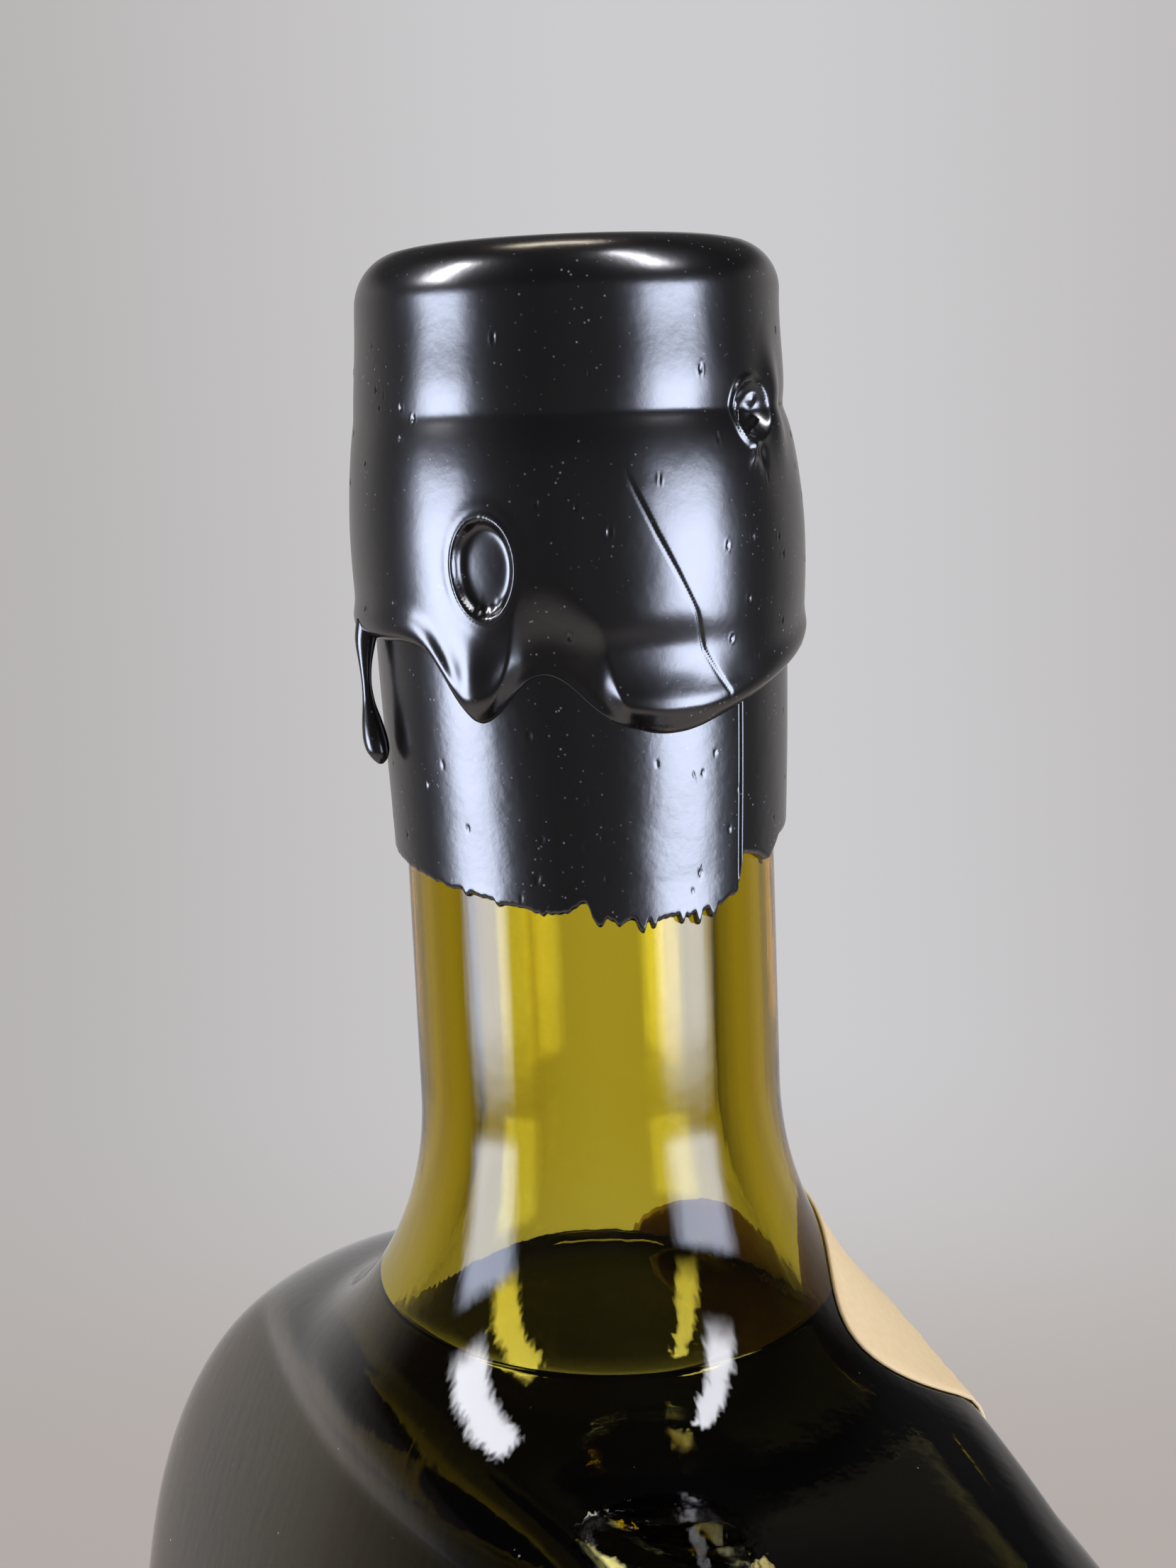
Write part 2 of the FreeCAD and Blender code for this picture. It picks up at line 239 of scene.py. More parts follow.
def closed_surface(name: str, grid: Array, inward: bool = False) -> tuple[Array, Array]:
    """Points and faces of a closed skin over rings of points.

    Ring k joins ring k + 1 by quads, the last column joins the first, and the two end rings
    close on their own middle points by fans. The whole skin is turned over if its volume comes
    out negative, or positive when it bounds a hollow.

    Args:
        name: Name for the log.
        grid: Rings by columns by 3.
        inward: True for the wall of a hollow.

    Returns:
        Points and faces; the fans are quads with a doubled corner left out by triangles.
    """
    rows, cols, _ = grid.shape
    points = np.concatenate([grid.reshape(-1, 3), grid[:1].mean(1), grid[-1:].mean(1)])
    quads = ring_quads(rows, cols)
    a, b = np.arange(cols), (np.arange(cols) + 1) % cols
    first = np.stack([b, a, np.full(cols, rows * cols)], -1)
    top = (rows - 1) * cols
    last = np.stack([top + a, top + b, np.full(cols, rows * cols + 1)], -1)
    tris = np.concatenate([first, last, quads[:, [0, 1, 2]], quads[:, [0, 2, 3]]])
    p, q, r = points[tris[:, 0]], points[tris[:, 1]], points[tris[:, 2]]
    volume = float(np.einsum("ij,ij->i", p, np.cross(q, r)).sum() / 6.0)
    flip = (volume < 0.0) != inward
    LOG.info("%s: %d points, volume %.2f cm3", name, len(points), abs(volume) / 1000.0)
    parts = [q[:, ::-1] if flip else q for q in (quads, first, last)]
    faces = [row for part in parts for row in part.tolist()]
    return points, np.array(faces, dtype=object)


# ---- sizes of the bottle ----


@dataclass(frozen=True)
class BottleSizes:
    """Sizes that the glass, the spirit, the wax and the label share, in millimetres."""

    height: float = 226.25
    half_width: float = 76.0
    half_depth: float = 37.0
    foot_half_width: float = 40.0
    foot_half_depth: float = 26.0
    neck: float = 14.75
    neck_foot_drop: float = 66.5
    bore: float = 9.6
    wall: float = 4.0
    floor: float = 7.0
    punt: float = 6.0
    foot_round: float = 6.0
    front_flare: float = 24.0
    front_shoulder: float = 52.0
    side_flare: float = 30.0
    side_shoulder: float = 38.0
    side_reach: float = 39.5
    face_start_half: float = 24.0
    face_start_drop: float = 94.5
    face_full_drop: float = 144.75
    face_bow: float = 7.3
    crease: float = 40.0
    fill_drop: float = 85.5
    view_side: float = 154.0

    def level(self, drop: Array | float) -> Array | float:
        """Height above the foot of a drop from the top of the wax."""
        return self.height - drop

    def outline(self, z: Array, flare: float, shoulder: float, reach: float, foot: float) -> Array:
        """Half outline: hollow arc under the neck, round shoulder arc, then a power taper.

        Args:
            z: Heights.
            flare: Radius of the hollow arc.
            shoulder: Radius of the shoulder arc, tangent to the hollow one.
            reach: Half size at the widest place.
            foot: Half size at the foot.

        Returns:
            Half sizes.
        """
        top = self.level(self.neck_foot_drop)
        hollow, full = self.neck + flare, reach - shoulder
        fall = math.sqrt((flare + shoulder) ** 2 - (hollow - full) ** 2)
        widest = top - fall
        meet = top - fall * flare / (flare + shoulder)
        upper = hollow - np.sqrt(np.maximum(flare**2 - (top - z) ** 2, 0.0))
        lower = full + np.sqrt(np.maximum(shoulder**2 - (z - widest) ** 2, 0.0))
        taper = reach - (reach - foot) * np.clip((widest - z) / widest, 0.0, 1.0) ** 1.9
        found = np.where(z >= meet, upper, np.where(z >= widest, lower, taper))
        return np.where(z >= top, self.neck, found)

    def face(self, z: Array) -> Array:
        """Half depth between the wide faces: starts narrow, swells by an eased power, tapers."""
        begin, full = self.level(self.face_start_drop), self.level(self.face_full_drop)
        share = np.clip((begin - z) / (begin - full), 0.0, 1.0)
        swell = self.face_start_half
        swell = swell + (self.half_depth - self.face_start_half) * (1.0 - (1.0 - share) ** 1.6)
        fall = np.clip((full - z) / full, 0.0, 1.0) ** 1.8
        return np.where(z >= full, swell, self.half_depth - (self.half_depth - self.foot_half_depth) * fall)

    def radius(self, angle: Array, z: Array, inset: Array | float) -> Array:
        """Radius of the section: a smooth least of an ellipse and a pair of bowed faces.

        Args:
            angle: Bearings in radians.
            z: Heights.
            inset: How far in from the outside.

        Returns:
            Radii.
        """
        front = (self.front_flare, self.front_shoulder, self.half_width, self.foot_half_width)
        side = (self.side_flare, self.side_shoulder, self.side_reach, self.foot_half_depth + 4.0)
        width, reach = self.outline(z, *front) - inset, self.outline(z, *side) - inset
        depth = self.face(z) - inset
        c, s = np.abs(np.cos(angle)), np.maximum(np.abs(np.sin(angle)), 1e-3)
        round_r = 1.0 / np.sqrt((c / width) ** 2 + (s / reach) ** 2)
        flat_r = np.minimum(round_r, depth / s)
        for _ in range(14):
            bowed = depth - self.face_bow * np.minimum(flat_r * c / width, 1.0) ** 1.8
            flat_r = 0.5 * flat_r + 0.5 * np.minimum(round_r * 1.5, bowed / s)
        m = self.crease
        return (round_r**-m + flat_r**-m) ** (-1.0 / m)

    def wall_at(self, z: Array) -> Array:
        """Wall thickness, growing from the body to the thick neck."""
        share = (z - self.level(self.face_start_drop)) / (self.face_start_drop - self.neck_foot_drop)
        return self.wall + (self.neck - self.bore - self.wall) * np.clip(share, 0.0, 1.0)

    def bearing(self, angle: Array, place: float) -> Array:
        """Degrees from a place given by its own bearing from the view side."""
        return (np.degrees(angle) - self.view_side - place + 180.0) % 360.0 - 180.0


def ring_angles(count: int) -> Array:
    """Even bearings round a full turn, in radians."""
    return np.arange(count) * 2.0 * math.pi / count


def polar(angle: Array, radius: Array, z: Array) -> Array:
    """Points from bearing, radius and height: (r cos a, r sin a, z)."""
    return np.stack([radius * np.cos(angle), radius * np.sin(angle), z + 0.0 * angle], -1)


# ---- finishes ----


@dataclass(frozen=True)
class SodaGlass:
    """Olive soda-lime glass, blown in a mould: clear, thick and a little uneven."""

    name: str = "soda_lime_glass_olive"
    ior: float = 1.52
    #: share of red, green and blue that each metre lets by is exp(-density (1 - colour))
    density: float = 360.0
    tint: tuple[float, float, float] = (0.885, 0.815, 0.0)

    def make(self) -> bpy.types.Material:
        """Build the material: clear refraction, absorption inside, faint mould ripple."""
        made = bpy.data.materials.new(self.name)
        tree = fresh_tree(made)
        place = node(tree, "ShaderNodeTexCoord").outputs["Object"]
        # draw lines of the mould run down the neck, about 1.5 mm apart and 40 mm long
        run = node(tree, "ShaderNodeMapping", {"Vector": place}, in_Scale=(650.0, 650.0, 25.0))
        lines = bump(tree, noise(tree, run.outputs[0], 1.0, 2.0), 0.07, 0.0003)
        # orange peel from the mould, about 2 mm across
        relief = bump(tree, noise(tree, place, 420.0, 1.0), 0.02, 0.0004, lines)
        skin = node(
            tree,
            "ShaderNodeBsdfPrincipled",
            {"Normal": relief},
            in_Base_Color=(1.0, 1.0, 1.0, 1.0),
            in_Roughness=0.0,
            in_IOR=self.ior,
            in_Transmission_Weight=1.0,
        )
        # dust specks about 0.2 mm across and 3 mm apart, on the shoulder only
        grains = node(tree, "ShaderNodeTexVoronoi", {"Vector": place}, in_Scale=330.0)
        near = ramp(tree, grains.outputs["Distance"], (0.022, 0.034), (0.55, 0.0))
        split = node(tree, "ShaderNodeSeparateXYZ", {0: place})
        low = ramp(tree, split.outputs[2], (0.142, 0.128), (0.0, 1.0))
        speck = node(tree, "ShaderNodeBsdfDiffuse", in_Color=srgb("d8d4d0"))
        worn = mix(tree, reckon(tree, "MULTIPLY", near, low), skin.outputs[0], speck.outputs[0])
        inside = node(
            tree,
            "ShaderNodeVolumeAbsorption",
            in_Color=(*self.tint, 1.0),
            in_Density=self.density,
        )
        node(tree, "ShaderNodeOutputMaterial", {"Surface": worn, "Volume": inside.outputs[0]})
        return made


@dataclass(frozen=True)
class AgedSpirit:
    """Oak-aged grape spirit: nearly black in depth, amber where it is thin."""

    name: str = "oak_aged_spirit"
    ior: float = 1.36
    density: float = 440.0
    tint: tuple[float, float, float] = (0.83, 0.66, 0.0)

    def make(self) -> bpy.types.Material:
        """Build the material: clear refraction with strong absorption inside."""
        made = bpy.data.materials.new(self.name)
        tree = fresh_tree(made)
        skin = node(
            tree,
            "ShaderNodeBsdfPrincipled",
            in_Base_Color=(1.0, 1.0, 1.0, 1.0),
            in_Roughness=0.0,
            in_IOR=self.ior,
            in_Transmission_Weight=1.0,
        )
        inside = node(
            tree,
            "ShaderNodeVolumeAbsorption",
            in_Color=(*self.tint, 1.0),
            in_Density=self.density,
        )
        node(
            tree,
            "ShaderNodeOutputMaterial",
            {"Surface": skin.outputs[0], "Volume": inside.outputs[0]},
        )
        return made


class WaxCoat(enum.Enum):
    """The two dips of wax."""

    UPPER = "upper"
    LOWER = "lower"


@dataclass(frozen=True)
class SealingWax:
    """Black sealing wax, dipped: a deep gloss on the thick coat, satin on the thin one."""

    coat: WaxCoat
    roughness: float
    peel: float
    dust: float
    body: str = "060405"
    grey: str = "a29fa8"
    #: above real wax, so that its highlights carry at the level of the lamps
    ior: float = 2.05

    def make(self) -> bpy.types.Material:
        """Build the material: near-black body, orange peel, pinholes and settled dust."""
        made = bpy.data.materials.new(f"black_sealing_wax_{self.coat.value}")
        tree = fresh_tree(made)
        place = node(tree, "ShaderNodeTexCoord").outputs["Object"]
        # slow waves of the dip, about 6 mm across
        slow = bump(tree, noise(tree, place, 170.0, 1.0), 0.10, 0.0008)
        # orange peel of the cooled dip, about 0.9 mm across
        relief = bump(tree, noise(tree, place, 1100.0, 3.0), self.peel, 0.0002, slow)
        # dust grains about 0.12 mm across, drawn a little coarse so that they show
        grains = node(tree, "ShaderNodeTexVoronoi", {"Vector": place}, in_Scale=1500.0)
        near = ramp(tree, grains.outputs["Distance"], (0.0, 0.16), (1.0, 0.0))
        chosen = ramp(tree, noise(tree, place, 260.0, 2.0), (0.42, 0.66), (0.0, self.dust))
        amount = reckon(tree, "MULTIPLY", near, chosen)
        colour = blend(tree, amount, srgb(self.body), srgb(self.grey))
        skin = node(
            tree,
            "ShaderNodeBsdfPrincipled",
            {"Base Color": colour, "Normal": relief},
            in_Roughness=self.roughness,
            in_IOR=self.ior,
        )
        node(tree, "ShaderNodeOutputMaterial", {"Surface": skin.outputs[0]})
        return made


@dataclass(frozen=True)
class LabelPaper:
    """Uncoated cream label paper with soft fibres."""

    name: str = "uncoated_cream_paper"

    def make(self) -> bpy.types.Material:
        """Build the material: cream with fibre mottling and a fine tooth."""
        made = bpy.data.materials.new(self.name)
        tree = fresh_tree(made)
        place = node(tree, "ShaderNodeTexCoord").outputs["Object"]
        # fibres clump about 0.6 mm across
        fibre = noise(tree, place, 1600.0, 4.0)
        skin = node(
            tree,
            "ShaderNodeBsdfPrincipled",
            {
                "Base Color": blend(tree, fibre, srgb("d2b78a"), srgb("dec698")),
                "Normal": bump(tree, fibre, 0.3, 0.0001),
            },
            in_Roughness=0.8,
        )
        node(tree, "ShaderNodeOutputMaterial", {"Surface": skin.outputs[0]})
        return made


# ---- sub-assemblies ----


class Piece:
    """Anything that builds one object of the bottle."""

    def dress(self, made: bpy.types.Object, finish: bpy.types.Material) -> None:
        """Give the piece its finish."""
        made.data.materials.append(finish)


@dataclass
class GlassBody(Piece):
    """The bottle's glass, with its hollow and its punt."""

    sizes: BottleSizes
    around: int = 256
    mouth_drop: float = 1.4
    bore_end_drop: float = 44.25
    punt_rim: float = 3.0
    fit: Pair = (1.0, 1.0)

    def skin_rows(self, low: float, high: float, count: int) -> Array:
        """Heights, closer where the neck flares into the shoulder."""
        even = np.linspace(0.0, 1.0, count)
        z = low + (high - low) * even
        middle = self.sizes.level(82.0)
        weight = 1.0 + 2.2 * bell(z - middle, 18.0)
        run = np.concatenate([[0.0], np.cumsum(0.5 * (weight[1:] + weight[:-1]))])
        return np.interp(even, run / run[-1], even) * (high - low) + low

    def rounded(self, z: Array, floor: float, inset: Array | float) -> tuple[Array, Array]:
        """Heights and insets with a quarter-round added at the low end."""
        turn = np.linspace(0.0, math.pi / 2.0, 13)[:-1]
        corner = self.sizes.foot_round
        low = floor + corner * (1.0 - np.cos(turn))
        extra = corner * (1.0 - np.sin(turn))
        inset = np.broadcast_to(inset, z.shape)
        return np.concatenate([low, z]), np.concatenate([inset[0] + extra, inset])

    def outside(self) -> Array:
        """Outer rings, from the middle of the punt out, over the foot and up to the mouth."""
        s = self.sizes
        angle = ring_angles(self.around)[None, :]
        z = self.skin_rows(s.foot_round, s.level(self.mouth_drop), 190)
        heights, walls = self.rounded(z, 0.0, np.zeros_like(z))
        rings = polar(angle, s.radius(angle, heights[:, None], walls[:, None]), heights[:, None])
        share = np.array([0.95, 0.85, 0.7, 0.5, 0.25, 0.0])[:, None]
        shrink = np.sqrt(1.0 - share**2)
        wide = s.foot_half_width - s.foot_round - self.punt_rim
        deep = s.foot_half_depth - s.foot_round - self.punt_rim
        across = (wide * shrink * np.cos(angle), deep * shrink * np.sin(angle))
        oval = np.stack([*across, s.punt * share + 0.0 * angle], -1)
        return np.concatenate([oval, rings])

    def inside(self, high: float, clearance: float, count: int) -> Array:
        """Rings of the hollow from its floor to a height, less a clearance."""
        s = self.sizes
        angle = ring_angles(self.around)[None, :]
        floor = s.punt + s.floor + clearance
        z = self.skin_rows(floor + s.foot_round, high, count)
        heights, walls = self.rounded(z, floor, s.wall_at(z) + clearance)
        return polar(angle, s.radius(angle, heights[:, None], walls[:, None]), heights[:, None])

    def build(self) -> bpy.types.Object:
        """Make the glass as one mesh of an outer and an inner skin."""
        outer, faces = closed_surface("glass outside", self.outside())
        inner, hollow = closed_surface(
            "glass inside",
            self.inside(self.sizes.level(self.bore_end_drop), 0.0, 130),
            inward=True,
        )
        outer[:, :2] *= self.fit
        inner[:, :2] *= self.fit
        shifted = [[c + len(outer) for c in row] for row in hollow]
        points = np.concatenate([outer, inner])
        made = mesh_object("bottle_glass", points, np.array(list(faces) + shifted, dtype=object))
        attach(made, "root")
        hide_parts("glass_bottle")
        return made


@dataclass
class SpiritFill(Piece):
    """The spirit, standing a little up the glass at its level."""

    body: GlassBody
    bite: float = 0.12
    creep: float = 1.3

    def build(self) -> bpy.types.Object:
        """Make the spirit reaching just into the wall, with a meniscus at the glass."""
        s = self.body.sizes
        level = s.level(s.fill_drop)
        rings = self.body.inside(level + self.creep, -self.bite, 120)
        rings[:, :, :2] *= self.body.fit
        rim = rings[-1]
        share = np.array([0.985, 0.95, 0.88, 0.78, 0.6, 0.35, 0.12])[:, None]
        top = np.repeat(rim[None], len(share), 0)
        top[:, :, :2] *= share[:, :, None]
        reach = (1.0 - share) * 16.0
        top[:, :, 2] = level + self.creep * np.exp(-reach / 1.1)
        points, faces = closed_surface("spirit", np.concatenate([rings, top]))
        made = mesh_object("spirit", points, faces)
        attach(made, "root")
        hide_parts("spirit_fill")
        return made


@dataclass
class FirstCoat(Piece):
    """The thin first dip of wax, torn along its hem, with a proud strip beside a seam."""

    sizes: BottleSizes
    around: int = 1040
    foot_radius: float = 15.5
    head_radius: float = 16.1
    strip: Pair = (46.5, 118.0)
    #: bearing and drop of the hem where it is whole
    hem_line: tuple[Pair, ...] = (
        (-170.0, 48.6), (-120.0, 47.2), (-80.0, 46.0), (-51.0, 47.2), (-34.0, 47.8), (-24.0, 48.4),
        (-9.0, 49.1), (-4.5, 48.5), (-1.6, 48.1), (0.0, 49.4), (15.0, 49.8), (30.0, 49.8),
        (40.0, 49.4), (46.4, 48.6), (47.2, 45.8), (55.0, 46.3), (61.5, 47.1), (69.0, 45.6),
        (85.0, 45.2), (118.0, 46.4), (121.0, 49.2), (150.0, 49.4),
    )
    #: bearing, length and half angle of the larger torn drops
    teeth: tuple[tuple[float, float, float], ...] = (
        (2.0, 0.45, 1.3), (7.6, 0.35, 1.3), (13.4, 0.85, 1.2), (17.0, 0.6, 0.7), (25.6, 0.65, 0.7),
        (31.0, 0.95, 0.8), (36.0, 0.7, 1.1), (-14.0, 0.22, 0.8), (-27.0, 0.3, 1.0),
        (-38.0, 0.28, 0.8), (128.0, 0.6, 1.2), (140.0, 0.5, 0.9), (-140.0, 0.6, 1.4),
    )

    def hem(self, angle: Array) -> Array:
        """Drop of the hem: whole line through its knots, fine torn edge and larger drops."""
        gap = self.sizes.bearing(angle, 0.0)
        drop = along(gap, self.hem_line, 0.22)
        place = np.degrees(angle)
        fine = waves(place, 0.0 * place, 5, 9, 0.9, 3.2)
        strip = step(gap - self.strip[0], 0.1) * step(self.strip[1] - gap, 0.1)
        torn = (0.05 + 0.05 * bell(gap - 12.0, 30.0)) * (1.0 - 0.8 * strip)
        drop = drop + torn * np.clip(fine, -1.2, 1.8)
        for bearing, length, half in self.teeth:
            off = self.sizes.bearing(angle, bearing)
            drop = drop + length * np.exp(-np.abs(off / half) ** 3.4)
        return drop

    def outer(self, angle: Array, drop: Array) -> Array:
        """Outer radius: leans in from head to foot, steps out on the strip, ripples slowly."""
        share = np.clip((drop - 30.0) / 17.0, 0.0, 1.0)
        radius = self.head_radius + (self.foot_radius - self.head_radius) * share
        gap = self.sizes.bearing(angle, 0.0)
        strip = step(gap - self.strip[0], 0.12) * step(self.strip[1] - gap, 0.8)
        seam = bell(gap - self.strip[0] + 0.35, 0.28) * step(drop - 33.0, 0.3)
        ripple = waves(angle * 15.0, drop, 21, 7, 0.12, 0.4)
        return radius + 0.13 * strip - 0.16 * seam + 0.045 * ripple - self.pits(angle, drop)

    def pits(self, angle: Array, drop: Array) -> Array:
        """Scattered pinholes, each a small bell-shaped dent."""
        rng = np.random.default_rng(31)
        total = np.zeros(np.broadcast(angle, drop).shape)
        for _ in range(34):
            bearing, centre = rng.uniform(-90.0, 90.0), rng.uniform(35.0, 48.0)
            size = rng.uniform(0.09, 0.16)
            across = np.radians(self.sizes.bearing(angle, bearing)) * self.foot_radius
            total = total + 0.09 * bell(np.hypot(across, drop - centre) / size, 1.0)
        return total

    def build(self) -> bpy.types.Object:
        """Make the coat as a closed sleeve with a rounded, torn hem."""
        s = self.sizes
        angle = ring_angles(self.around)[None, :]
        hem = self.hem(angle)
        rings = []
        inner = s.neck + 0.02
        for back in (33.0, 10.0, 0.35, 0.0):
            rings.append(polar(angle, inner + 0.0 * angle, s.level(hem - back)))
        for back, share in ((0.0, 0.45), (0.06, 0.75), (0.2, 0.95), (0.45, 1.0)):
            drop = hem - back
            radius = inner + (self.outer(angle, drop) - inner) * share
            rings.append(polar(angle, radius, s.level(drop)))
        for back in np.concatenate([np.linspace(0.65, 19.0, 84), [24.0, 33.0]]):
            drop = hem - back
            rings.append(polar(angle, self.outer(angle, drop), s.level(drop)))
        grid = np.concatenate(rings)
        quads = ring_quads(*grid.shape[:2], closed=True)[:, ::-1]
        made = mesh_object("wax_skirt", grid.reshape(-1, 3), quads)
        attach(made, "root")
        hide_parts("wax_first_coat")
        return made


@dataclass
class SecondCoat(Piece):
    """The thick second dip: rounded top, waist under the lip, bubbles and a dripping edge."""

    sizes: BottleSizes
    skirt: FirstCoat
    around: int = 620
    rows: int = 146
    rim_radius: float = 16.3
    rim_round: float = 4.0
    belly_radius: float = 17.72
    belly_drop: float = 22.0
    edge_radius: float = 17.15
    lip: float = 15.62
    mouth_drop: float = 1.4
    lip_top: float = 2.6
    lip_foot: float = 11.5
    #: bearing and drop of the lower edge
    edge_line: tuple[Pair, ...] = (
        (-176.0, 30.2), (-163.0, 30.4), (-152.0, 33.8), (-142.0, 30.6), (-120.0, 29.6),
        (-77.0, 29.0), (-50.0, 28.9), (-42.0, 29.4), (-37.5, 30.8), (-33.5, 33.3), (-31.0, 34.6),
        (-26.0, 34.8), (-22.5, 33.9), (-18.0, 32.3), (-12.0, 30.9), (-5.0, 31.4), (1.0, 33.3),
        (8.0, 34.9), (20.0, 35.9), (29.0, 35.8), (39.0, 34.9), (50.0, 33.9), (60.0, 33.0),
        (82.0, 31.2), (120.0, 30.2), (150.0, 32.6),
    )
    #: bearing and drop of the overlap line
    fold_line: tuple[Pair, ...] = (
        (12.0, 17.0), (18.6, 21.3), (23.3, 24.0), (28.4, 27.0), (31.0, 29.8), (38.0, 33.2),
    )

    def bearings(self) -> Array:
        """Bearings round the turn, closer together on the side of the tongue."""
        even = np.linspace(-180.0, 180.0, self.around, endpoint=False)
        weight = 1.0 + 2.2 * bell(even, 66.0)
        run = np.concatenate([[0.0], np.cumsum(weight)])
        turn = np.interp(
            np.linspace(0.0, run[-1], self.around, endpoint=False),
            run,
            np.append(even, 180.0),
        )
        return np.radians(turn + self.sizes.view_side)

    def edge(self, angle: Array) -> Array:
        """Drop of the lower edge, through its knots."""
        return along(self.sizes.bearing(angle, 0.0), self.edge_line, 1.1)

    def crispness(self, angle: Array) -> Array:
        """How sharply the edge stands off the first coat, from 0 where it fades to 1."""
        gap = self.sizes.bearing(angle, 0.0)
        return 1.0 - 0.97 * step(gap + 17.0, 1.6) * step(7.0 - gap, 1.6)

    def profile(self, drop: Array) -> Array:
        """Radius of the plain sides: quarter-round rim, belly, soft foot; the cusped waist is added by
        waist.
        """
        lift = np.clip((self.rim_round - drop) / self.rim_round, 0.0, 1.0)
        rim = self.rim_radius - self.rim_round * (1.0 - np.sqrt(1.0 - lift**2))
        share = np.clip((drop - self.rim_round) / (self.belly_drop - self.rim_round), 0.0, 1.0)
        radius = rim + (self.belly_radius - self.rim_radius) * share**2 * (3.0 - 2.0 * share)
        fall = np.clip((drop - self.belly_drop) / 9.0, 0.0, 1.4)
        return radius - (self.belly_radius - self.edge_radius) * fall**2

    def waist(self, angle: Array, drop: Array) -> Array:
        """Waist under the lip: a cusp exp(-|d| / 1.3), crisp on the right, faint on the left."""
        gap = self.sizes.bearing(angle, 0.0)
        line = 12.55 + 0.10 * np.sin(np.radians(gap) * 2.0)
        off = np.sqrt((drop - line) ** 2 + 0.12 + 0.25 * step(-gap - 10.0, 12.0))
        depth = 0.42 + 0.22 * step(gap - 25.0, 12.0) - 0.24 * step(-gap - 55.0, 10.0)
        return depth * np.exp(-off / 1.35)

    def across(self, angle: Array, bearing: float) -> Array:
        """Millimetres round the belly from a bearing."""
        return np.radians(self.sizes.bearing(angle, bearing)) * self.belly_radius

    def dimple(self, angle: Array, drop: Array) -> Array:
        """Burst bubble: an oval bowl 0.75 deep, flat in the middle, with a thin sharp rim."""
        wide, down = self.across(angle, -22.9), drop - 23.3
        reach = np.hypot(wide / (2.35 - 0.10 * down / 3.6), down / 3.5)
        bowl = 0.78 * (1.0 - np.clip(reach, 0.0, 1.0) ** 9.0)
        rim = 0.14 * bell(reach - 1.05, 0.06) + 0.08 * bell(reach - 1.2, 0.2)
        grit = 0.10 * np.maximum(waves(wide, down, 6, 6, 5.0, 9.0), 0.0) * bell(down - 3.0, 0.5)
        return rim - bowl + grit * step(0.95 - reach, 0.03)

    def crater(self, angle: Array, drop: Array) -> Array:
        """Broken bubble at the waist: round hollow, two pits, shell lip, tail and shoulder."""
        wide, down = self.across(angle, 52.5), drop - 12.9
        reach = np.hypot(wide / 2.2, down / 2.35) + 0.05 * waves(wide, down, 8, 4, 1.0, 2.0)
        bowl = 0.85 * (1.0 - np.clip(reach, 0.0, 1.0) ** 3.0)
        pit = 0.45 * bell(np.hypot(wide + 0.9, down + 0.2), 0.75)
        pit = pit + 0.35 * bell(np.hypot(wide + 0.2, down - 1.5), 0.42)
        drops = 0.35 * bell(np.hypot(wide + 0.55, down + 0.35), 0.28)
        drops = drops + 0.30 * bell(np.hypot(wide - 1.0, down + 0.7), 0.45)
        lip = 0.30 * bell(reach - 1.08, 0.09) * step(-wide + 0.4, 0.5)
        tail = 0.22 * bell(np.hypot((wide + 0.9 + 0.5 * (down - 3.0)) / 0.35, (down - 3.1) / 0.8), 1.0)
        tail = tail - 0.20 * bell(np.hypot((wide - 0.2) / 0.5, (down - 3.3) / 0.9), 1.0)
        shoulder = 0.55 * bell(np.hypot((wide - 3.4) / 1.5, (down + 0.5) / 3.2), 1.0)
        return lip - bowl - pit + drops + tail + shoulder

    def fold(self, angle: Array, drop: Array) -> Array:
        """Curved overlap line: the left side stands 0.07 proud and a hair groove runs below."""
        gap = self.sizes.bearing(angle, 0.0)
        place = np.array([k[1] for k in self.fold_line])
        value = np.array([k[0] for k in self.fold_line])
        line = np.interp(drop, place, value)
        off = np.radians(gap - line) * self.belly_radius
        inside = step(drop - 17.6, 0.3) * step(33.4 - drop, 0.2)
        turn = 0.05 * step(off, 0.05) * bell(off, 1.5)
        return inside * (turn - 0.10 * bell(off, 0.10))

    def pinholes(self, angle: Array, drop: Array) -> Array:
        """Scattered pinholes with a slight lip, 0.3 to 0.45 mm across."""
        rng = np.random.default_rng(12)
        total = np.zeros(np.broadcast(angle, drop).shape)
        for _ in range(52):
            bearing, centre = rng.uniform(-100.0, 100.0), rng.uniform(7.0, 32.0)
            size = rng.uniform(0.11, 0.19)
            reach = np.hypot(self.across(angle, bearing), drop - centre) / size
            total = total - 0.11 * bell(reach, 1.0) + 0.04 * bell(reach - 1.5, 0.5)
        return total

    def swells(self, angle: Array, drop: Array) -> Array:
        """Slow forms of the dip: the tongue's ridge, the swag's roll and the waist above it."""
        gap = self.sizes.bearing(angle, 0.0)
        ridge = 0.60 * bell(gap + 28.0, 5.0) * bell(drop - 32.0, 2.8)
        roll = 0.55 * bell(drop - 33.6, 1.7) * bell(gap - 24.0, 20.0)
        hollow = 0.42 * bell(drop - 29.6, 1.9) * bell(gap - 18.0, 26.0)
        curl = 0.30 * bell(np.hypot(self.across(angle, -12.0) / 1.2, (drop - 30.6) / 0.6), 1.0)
        lean = 0.14 * np.sin(np.radians(gap)) * bell(drop - 12.0, 8.0)
        return ridge + roll - hollow + curl - lean

